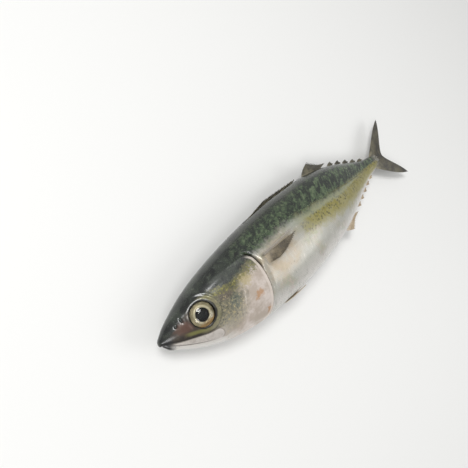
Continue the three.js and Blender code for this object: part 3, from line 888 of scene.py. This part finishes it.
def shapeTree(name, inputs, output):
    # an empty tree with named inputs, and the identifiers that they are set by
    tree = bpy.data.node_groups.new(name, "GeometryNodeTree")
    ports = {}
    for key, kind in inputs.items():
        port = tree.interface.new_socket(key, in_out="INPUT", socket_type="NodeSocket" + kind)
        ports[key] = port.identifier
    tree.interface.new_socket(output, in_out="OUTPUT", socket_type="NodeSocketGeometry")
    graph = Graph(tree)
    return graph, graph.node("NodeGroupInput"), ports


def endTree(graph, given, shape, output):
    real = graph.node("GeometryNodeRealizeInstances", None, {"Geometry": shape})
    done = graph.node("GeometryNodeSetMaterial", None, {"Geometry": real, "Material": given.tap("Finish")})
    graph.node("NodeGroupOutput", None, {output: done})


def named(graph, name, kind="FLOAT"):
    return graph.node("GeometryNodeInputNamedAttribute", {"data_type": kind}, {"Name": name})


def rayTree():
    # turns the loose lines of a fin's mesh into tapered tubes, and keeps the sheet beside them
    inputs = {"Sheet": "Geometry", "Ray Radius": "Float", "Ray Sides": "Int", "Finish": "Material"}
    graph, given, ports = shapeTree("finRays", inputs, "Fin")
    split = graph.node("GeometryNodeSeparateGeometry", {"domain": "POINT"},
                       {"Geometry": given.tap("Sheet"), "Selection": named(graph, "onRay")})
    lines = graph.node("GeometryNodeMeshToCurve", None, {"Mesh": split})
    lines = graph.node("GeometryNodeSetCurveRadius", None, {"Curve": lines, "Radius": named(graph, "taper")})
    ring = graph.node("GeometryNodeCurvePrimitiveCircle", {"mode": "RADIUS"},
                      {"Resolution": given.tap("Ray Sides"), "Radius": given.tap("Ray Radius")})
    tubes = {"Curve": lines, "Profile Curve": ring, "Fill Caps": True}
    tubes = graph.node("GeometryNodeCurveToMesh", None, tubes)
    tubes = graph.node("GeometryNodeSetShadeSmooth", None, {"Geometry": tubes})
    joined = graph.node("GeometryNodeJoinGeometry", None, {0: [tubes, split.tap("Inverted")]})
    endTree(graph, given, joined, "Fin")
    return graph.tree, ports


def copyTree():
    # one copy of a shape on each point, turned and sized by the point's own attributes
    inputs = {"Points": "Geometry", "Shape": "Object", "Finish": "Material"}
    graph, given, ports = shapeTree("copies", inputs, "Row")
    shape = graph.node("GeometryNodeObjectInfo", None, {"Object": given.tap("Shape")}).tap("Geometry")
    turn = graph.node("FunctionNodeEulerToRotation", None, {0: named(graph, "turn", "FLOAT_VECTOR")})
    values = {"Points": given.tap("Points"), "Instance": shape, "Rotation": turn,
              "Scale": named(graph, "grow", "FLOAT_VECTOR")}
    endTree(graph, given, graph.node("GeometryNodeInstanceOnPoints", None, values), "Row")
    return graph.tree, ports


rays, copies = rayTree(), copyTree()


def evaluated(piece, tree, values):
    # the piece with its mesh as the tree leaves it, and no modifier on it
    modifier = piece.modifiers.new("shape", "NODES")
    modifier.node_group = tree[0]
    for key, value in values.items():
        modifier[tree[1][key]] = value
    bpy.context.view_layer.update()
    result = bpy.data.meshes.new_from_object(piece.evaluated_get(bpy.context.evaluated_depsgraph_get()))
    piece.modifiers.clear()
    piece.data = result
    result.polygons.foreach_set("use_smooth", [True] * len(result.polygons))
    result.update()
    return piece


# Every fin is one closed thin sheet over a family of rays, and the rays themselves are tubes along it.
# across runs from 0 at the first ray to 1 at the last, along from 0 at the root to 1 at the tip.
finBuild = {"between": 4, "raySides": 6, "taper": 0.8, "thinTip": 0.6, "thinWeb": 0.45, "thinnest": 0.025}


def finMesh(name, plan, surface, material, loose=False):
    # surface(across, along) gives points of the middle of the fin, in fish millimetres
    gaps, steps = plan["rays"] - 1, plan["steps"]
    columns = gaps * finBuild["between"] + 1
    s = np.linspace(0, 1, columns)[:, None].repeat(steps, 1)
    t = np.linspace(0, 1, steps)[None].repeat(columns, 0)
    webs = np.abs(np.sin(np.pi * s * gaps))
    sheet = surface(s, t * (1 - plan["scallop"] * webs * t))
    normal = np.cross(np.gradient(sheet, axis=1), np.gradient(sheet, axis=0))
    normal /= np.linalg.norm(normal, axis=-1, keepdims=True) + 1e-9
    half = plan["web"] / 2 * (1 - finBuild["thinTip"] * t) * (1 - finBuild["thinWeb"] * webs)
    half = np.maximum(half, finBuild["thinnest"])[..., None]
    layer = columns * steps
    parts = [[side * normal * half + sheet, 0 * s, 0 * s, s * gaps, t] for side in (1, -1)]

    def at(i, j, side):
        return i * steps + j + (0 if side > 0 else layer)

    def wall(a, b, turned=False):  # closes the sheet between two points of its edge
        corners = (at(*a, 1), at(*b, 1), at(*b, -1), at(*a, -1))
        return corners[:1] + corners[:0:-1] if turned else corners

    faces, edges, first = [], [], 2 * layer
    last, tip = columns - 1, steps - 1
    for i in range(last):
        for j in range(tip):
            faces.append((at(i, j, 1), at(i, j + 1, 1), at(i + 1, j + 1, 1), at(i + 1, j, 1)))
            faces.append((at(i, j, -1), at(i + 1, j, -1), at(i + 1, j + 1, -1), at(i, j + 1, -1)))
        faces += [wall((i, 0), (i + 1, 0)), wall((i, tip), (i + 1, tip), True)]
    for j in range(tip):
        faces += [wall((0, j), (0, j + 1), True), wall((last, j), (last, j + 1))]
    lines = [(i / gaps, 0, 1, 1.0) for i in range(gaps + 1)]
    if "fork" in plan:  # rays split towards the tip
        lines += [((i + 0.5) / gaps, plan["fork"], 1 - plan["scallop"], 0.7) for i in range(gaps)]
    for place, start, end, thick in lines:
        line = np.linspace(start, end, plan.get("raySteps", steps))
        across = np.full_like(line, place)
        taper = thick * (1 - finBuild["taper"] * line)
        parts.append([surface(across, line), 0 * line + 1, taper, across * gaps, line])
        edges += [(first + k, first + k + 1) for k in range(len(line) - 1)]
        first += len(line)
    points = np.concatenate([part[0].reshape(-1, 3) for part in parts])
    fields = {key: np.concatenate([part[i].ravel() for part in parts])
              for i, key in enumerate(("onRay", "taper", "across", "along"), 1)}
    piece = makeMesh(name, points * mm if loose else toFrame(points), faces, fields, edges)
    values = {"Ray Radius": plan["ray"] * mm, "Ray Sides": finBuild["raySides"], "Finish": material}
    return evaluated(piece, rays, values)


def bezier(t, *corners):
    # a curve with two to four control points, for arrays of t
    level = [np.broadcast_to(np.asarray(c, float), t.shape) for c in corners]
    while len(level) > 1:
        level = [a * (1 - t) + b * t for a, b in zip(level[:-1], level[1:])]
    return level[0]


def bow(t, start, end, *shares):
    # the same, with its inner points given as shares of the way
    return bezier(t, start, *(start + (end - start) * share for share in shares), end)


def finPaint(name, look):
    paint = Paint(name)
    clamp, mix = paint.clamp, paint.mix
    across, along, onRay = (paint.attribute(k) for k in ("across", "along", "onRay"))
    blotch = paint.noise(4.5, 4, 0.6)
    fine = paint.noise(0.5, 3, 0.6)
    nearRay = clamp(((across + 0.5).calc("FRACT") - 0.5).calc("ABSOLUTE"), 0.42, 0.12)
    base = 1 - clamp(along + blotch * 0.4, 0.02, look["baseReach"])
    web = mix(clamp(blotch + along * 0.35 - 0.15, -0.2, 0.22), look["web"], look["webDark"])
    ray = mix(clamp(fine + blotch, -0.2, 0.25), look["ray"], look["rayDark"])
    colour = paint.lay(
        web,
        (base, look["base"]),
        ((onRay + nearRay * 0.45).calc("MINIMUM", 1), mix(base * 0.8, ray, look["base"])),
        (clamp(along + fine * 0.15, 0.84, 1.0) * 0.7, look["edge"]))
    joints = ((along * look["joints"]).calc("FRACT") - 0.5).calc("ABSOLUTE")
    height = clamp(joints, 0.42, 0.5) * onRay * -0.6 + fine * 0.4
    return paint.set(Base_Color=colour, Roughness=0.34 + fine * 0.2, Normal=paint.bump(0.6, 0.05, height),
                     Coat_Weight=0.55, Coat_Roughness=0.15)


darkFinLook = {
    "web": "7a755f", "webDark": "3d3a31", "base": "8d8672", "ray": "5d5847", "rayDark": "2b2922",
    "edge": "24231f", "baseReach": 0.22, "joints": 26.0,
}
pectoralLook = {
    "web": "857a62", "webDark": "4c4536", "base": "b3a58f", "ray": "756a55", "rayDark": "3b352a",
    "edge": "45402f", "baseReach": 0.5, "joints": 22.0,
}
paleFinLook = {
    "web": "d0c3ab", "webDark": "b39f82", "base": "d6cdbe", "ray": "bba98c", "rayDark": "94816a",
    "edge": "a8957b", "baseReach": 0.3, "joints": 18.0,
}
darkFin = finPaint("darkFin", darkFinLook)
pectoralFin = finPaint("pectoralFin", pectoralLook)
paleFin = finPaint("paleFin", paleFinLook)

tailPlan = {
    "rays": 33, "steps": 30, "web": 0.34, "ray": 0.16, "scallop": 0.015, "fork": 0.34, "raySteps": 22,
    "rootHalf": 4.2, "curl": 1.3, "notch": 0.43,
}


def tailSurface(across, along):
    plan = tailPlan
    low, high = fishBox("tail_fin")
    root, tips = low[0], high[0]
    spread = (high[1] - low[1]) / 2 - 0.15
    notch = root + plan["notch"] * (tips - root)
    a, turn = np.abs(across * 2 - 1), np.sign(across * 2 - 1)
    endX = bezier(a ** 0.8, notch, notch + 1, tips - 4, tips)
    endY = bezier(a ** 0.8, 0, 5, spread - 8, spread)
    rootX = root + 0.4 - 1.9 * a ** 2
    rootY = plan["rootHalf"] * a
    x = bow(along, rootX, endX, 0.3 - 0.08 * a ** 3, 0.68 - 0.08 * a ** 2)
    y = bow(along, rootY, endY, 0.12 + 0.12 * a, 0.55 + 0.28 * a ** 4)
    z = plan["curl"] * np.sin(along * np.pi * 0.9 + 0.4) * a * along * (0.7 + 0.3 * turn)
    return np.stack([x, (high[1] + low[1]) / 2 + turn * y, z + sag(x)], -1)


addPiece(finMesh("tailFin", tailPlan, tailSurface, darkFin), ["tail_fin"], "fin")

# the fins that stand in the middle plane
standingBoth = {"steps": 18, "web": 0.26, "scallop": 0.1, "lean": 5.0, "fork": 0.5, "foot": 0.25}
standingPlans = {
    "secondDorsalFin": {"node": "second_dorsal_fin", "side": 1, "rays": 13, "ray": 0.17, "height": 6.0,
                        "sway": 0.9},
    "analFin": {"node": "anal_fin", "side": -1, "rays": 12, "ray": 0.16, "height": 5.5, "sway": -0.7},
}


def standingSurface(plan):
    low, high = fishBox(plan["node"])
    x0, side, lean = low[0], plan["side"], plan["lean"]
    length = high[0] - x0 - lean
    edge = back if side > 0 else belly

    def surface(across, along):
        rootX = x0 + length * across
        rootY = edge(rootX) - side * plan["foot"]
        endX = bezier(across, x0 + 0.25 * length + lean, x0 + 0.5 * length + lean, x0 + length + lean)
        height = plan["height"] * bezier(across, 1.0, 0.5, 0.15) + 0.5
        endY = edge(np.minimum(endX, x0 + length)) + side * (height - plan["foot"])
        x = bow(along, rootX, endX, 0.32)
        y = bow(along, rootY, endY, 0.62)
        return np.stack([x, y, plan["sway"] * along ** 2 * (1 - 0.4 * across) + sag(x)], -1)
    return surface


for name, plan in standingPlans.items():
    plan = {**standingBoth, **plan}
    material, slot = (darkFin, "fin") if plan["side"] > 0 else (paleFin, "pale_fin")
    addPiece(finMesh(name, plan, standingSurface(plan), material), [plan["node"]], slot)

# the pectoral fins, folded back in their pockets
pectoralPlan = {"rays": 17, "steps": 22, "web": 0.22, "ray": 0.14, "scallop": 0.06, "fork": 0.5,
                "clear": 0.17, "sink": 0.28, "spread": 0.75, "ripple": 0.1}


def pectoralSurface(side):
    low, high = fishBox("left_pectoral_fin" if side > 0 else "right_pectoral_fin")
    x0, length, rise, plan = low[0], high[0] - low[0], finPlan["pectoralRise"], pectoralPlan
    top = high[1] - rise

    def surface(across, along):
        u = 0.34 + 0.66 * across ** 1.15
        endX = x0 + length * u
        endY = top + rise * u - pectoralWidth(u) * (1 - 0.06 * across)
        rootX = x0 + 0.6 * (1 - across)
        rootY = top - pectoralWidth(0) * 0.92 * (1 - across)
        x = bow(along, rootX, endX, 0.5)
        y = bezier(along, rootY, rootY + (endY - rootY) * 0.42 + 0.5 * across, endY)
        lift = plan["spread"] * along ** 2.5 - plan["sink"] + 0.16 * (1 - across)
        lift = lift + plan["ripple"] * np.sin(across * 9 + along * 4) * along
        z = flank(x, y, side) + side * lift
        return np.stack([x, y, z if side > 0 else np.maximum(z, table + plan["clear"])], -1)
    return surface


# the pelvic fins, flat under the belly
pelvicPlan = {"rays": 7, "steps": 16, "web": 0.26, "ray": 0.2, "scallop": 0.05, "width": 3.0, "inner": 0.35,
              "drop": 0.55, "start": 0.3}


def pelvicSurface(side):
    low, high = fishBox("left_pelvic_fin" if side > 0 else "right_pelvic_fin")
    plan = pelvicPlan
    x0, length = low[0] + plan["start"], high[0] - low[0] - plan["start"]

    def surface(across, along):
        u = along * (0.62 + 0.38 * across)
        x = x0 + length * u
        z = plan["inner"] + plan["width"] * across * (0.35 + 0.65 * np.sqrt(u)) * (1 - 0.42 * u ** 3)
        angle = -np.arccos(np.clip(z / halfWidth(x), -1, 1))
        y = middle(x) + halfDepth(x) * np.sin(angle) - plan["drop"] - 0.2 * along
        return np.stack([x, y, side * z + sag(x)], -1)
    return surface


for word, kind, plan, surface, material, slot in (
        ("Pectoral", "pectoral", pectoralPlan, pectoralSurface, pectoralFin, "fin"),
        ("Pelvic", "pelvic", pelvicPlan, pelvicSurface, paleFin, "pale_fin")):
    for side, hand in ((1, "left"), (-1, "right")):
        piece = finMesh(hand + word + "Fin", plan, surface(side), material)
        addPiece(piece, ["%s_%s_fin" % (hand, kind)], slot)

# the first dorsal fin, folded down in its groove: spines that lie back over each other in a pleated web
foldedPlan = {"rays": 11, "steps": 26, "web": 0.3, "ray": 0.32, "scallop": 0.05, "longest": 19.0,
              "shortest": 5.0, "foot": -1.3, "crest": 1.15, "pleat": 0.34, "start": 0.4}


def foldedSurface(across, along):
    plan = foldedPlan
    low, high = fishBox("first_dorsal_fin")
    length = high[0] - low[0]
    reach = plan["longest"] + (plan["shortest"] - plan["longest"]) * across
    room = (length - 2 * plan["start"]) * (1 - plan["shortest"] / length)
    x = low[0] + plan["start"] + room * across + reach * along
    y = back(x) + plan["foot"] + (plan["crest"] * (1 - 0.35 * across) - plan["foot"]) * along ** 0.8
    z = plan["pleat"] * np.cos(np.pi * across * (plan["rays"] - 1)) * (0.4 + 0.6 * along) * (1 - 0.5 * across)
    return np.stack([x, y, z + sag(x)], -1)


addPiece(finMesh("firstDorsalFin", foldedPlan, foldedSurface, darkFin), ["first_dorsal_fin"], "fin")
print("fins")


def copyRow(name, shape, places, turns, sizes, material):
    row = makeMesh(name, toFrame(places), [], {"turn": turns, "grow": sizes})
    evaluated(row, copies, {"Shape": shape, "Finish": material})
    bpy.data.objects.remove(shape)
    return row


finletPlan = {"rays": 7, "steps": 12, "web": 0.22, "ray": 0.13, "scallop": 0.06, "lean": 0.25, "count": 5,
              "fork": 0.45, "sink": 0.3, "height": 0.92}


def finletSurface(length, height, side):
    lean = finletPlan["lean"]

    def surface(across, along):
        rootX = length * across
        endX = bezier(across, (0.55 + lean) * length, 0.85 * length, (1 + lean) * length)
        endY = bezier(across, 0.64 * height, 0.36 * height, 0.16 * height)
        x = bow(along, rootX, endX, 0.3)
        y = bezier(along, -finletPlan["sink"], endY * 0.6, endY)
        return np.stack([x, side * y, 0.22 * along ** 2], -1)
    return surface


for row, side, material, slot, edge in (
        ("dorsal", 1, darkFin, "fin", back),
        ("anal", -1, paleFin, "pale_fin", belly)):
    nodes = ["%s_finlet_%d" % (row, i + 1) for i in range(finletPlan["count"])]
    lows, highs = np.array([fishBox(node) for node in nodes]).transpose(1, 0, 2)
    xs = lows[:, 0]
    spans = (highs[:, 0] - xs) / (1 + finletPlan["lean"])
    heights = highs[:, 1] - lows[:, 1]
    surface = finletSurface(spans[0], finletPlan["height"] * heights[0], side)
    shape = finMesh(row + "Shape", finletPlan, surface, material, loose=True)
    slopes = np.arctan((edge(xs + spans) - edge(xs)) / spans)
    sizes = np.stack([spans / spans[0], heights / heights[0], 1 + 0 * xs], -1)
    places, turns = np.stack([xs, edge(xs), sag(xs)], -1), np.stack([0 * xs, 0 * xs, slopes], -1)
    addPiece(copyRow(row + "Finlets", shape, places, turns, sizes, material), nodes, slot)
print("finlets")

# the scales of the lateral line: small low plates with a rounded hind edge
linePlan = {"from": 57.5, "to": 180.0, "pitch": 1.4, "length": 1.25, "width": 0.75, "height": 0.07,
            "wander": 0.12, "points": 14, "sink": 0.25, "proud": 0.02, "clear": 0.6, "seed": 4}


def plateShape():
    ring = linePlan["points"]
    a = 2 * np.pi * np.arange(ring) / ring
    x = linePlan["length"] / 2 * np.cos(a)
    y = linePlan["width"] / 2 * np.sin(a) * (1.1 - 0.2 * np.cos(a))
    rim = np.stack([x, y, 0 * a], -1)
    under = np.stack([x * 0.9, y * 0.9, 0 * a - linePlan["sink"]], -1)
    points = np.vstack([[(linePlan["length"] * 0.1, 0, linePlan["height"])], rim, under])
    faces = fan(0, 1, ring) + [(a, a + ring, b + ring, b) for _, a, b in fan(0, 1, ring)]
    faces.append(tuple(range(2 * ring, ring, -1)))
    return makeMesh("plate", points * mm, faces)


def platePaint():
    paint = Paint("lateralPlates")
    green, band = skinLook["back"], skinLook["band"]
    shade = paint.clamp(paint.noise(1.3, 3), -0.15, 0.2)
    colour = paint.mix(paint.clamp(paint.axis(0), 112, 138), paint.mix(shade, green["dark"], green["pale"]),
                       paint.mix(shade, band["dot"], band["gold"]))
    return paint.set(Base_Color=colour, Roughness=0.4 + shade * 0.15, Coat_Weight=0.2, Coat_Roughness=0.3)


def onSkin(x, y, side):
    return Vector((x, float(y), float(flank(x, y, side))))


def lineRow():
    places, turns, sizes = [], [], []
    chance = np.random.default_rng(linePlan["seed"])
    for side in (1, -1):
        for x in np.arange(linePlan["from"], linePlan["to"], linePlan["pitch"]):
            y = middle(x) + halfDepth(x) * lateralLine(x) + chance.uniform(-1, 1) * linePlan["wander"]
            size = chance.uniform(0.85, 1.1) * (1 - 0.35 * x / bodyLength)
            here = onSkin(x, y, side)
            along = (onSkin(x + 1, y + middle(x + 1) - middle(x), side) - here).normalized()
            up = (onSkin(x, y + 0.8, side) - here).normalized()
            out = along.cross(up).normalized() * side
            place = here + out * linePlan["proud"]
            if place.z > table + linePlan["clear"]:  # none where the flank lies on the surface
                places.append(place)
                turns.append(Matrix((along, out.cross(along), out)).transposed().to_euler())
                sizes.append([size] * 3)
    return places, turns, sizes


plates = copyRow("lateralLine", plateShape(), *lineRow(), platePaint())
addPiece(plates, [], "skin")
print("lateral line", len(plates.data.polygons))
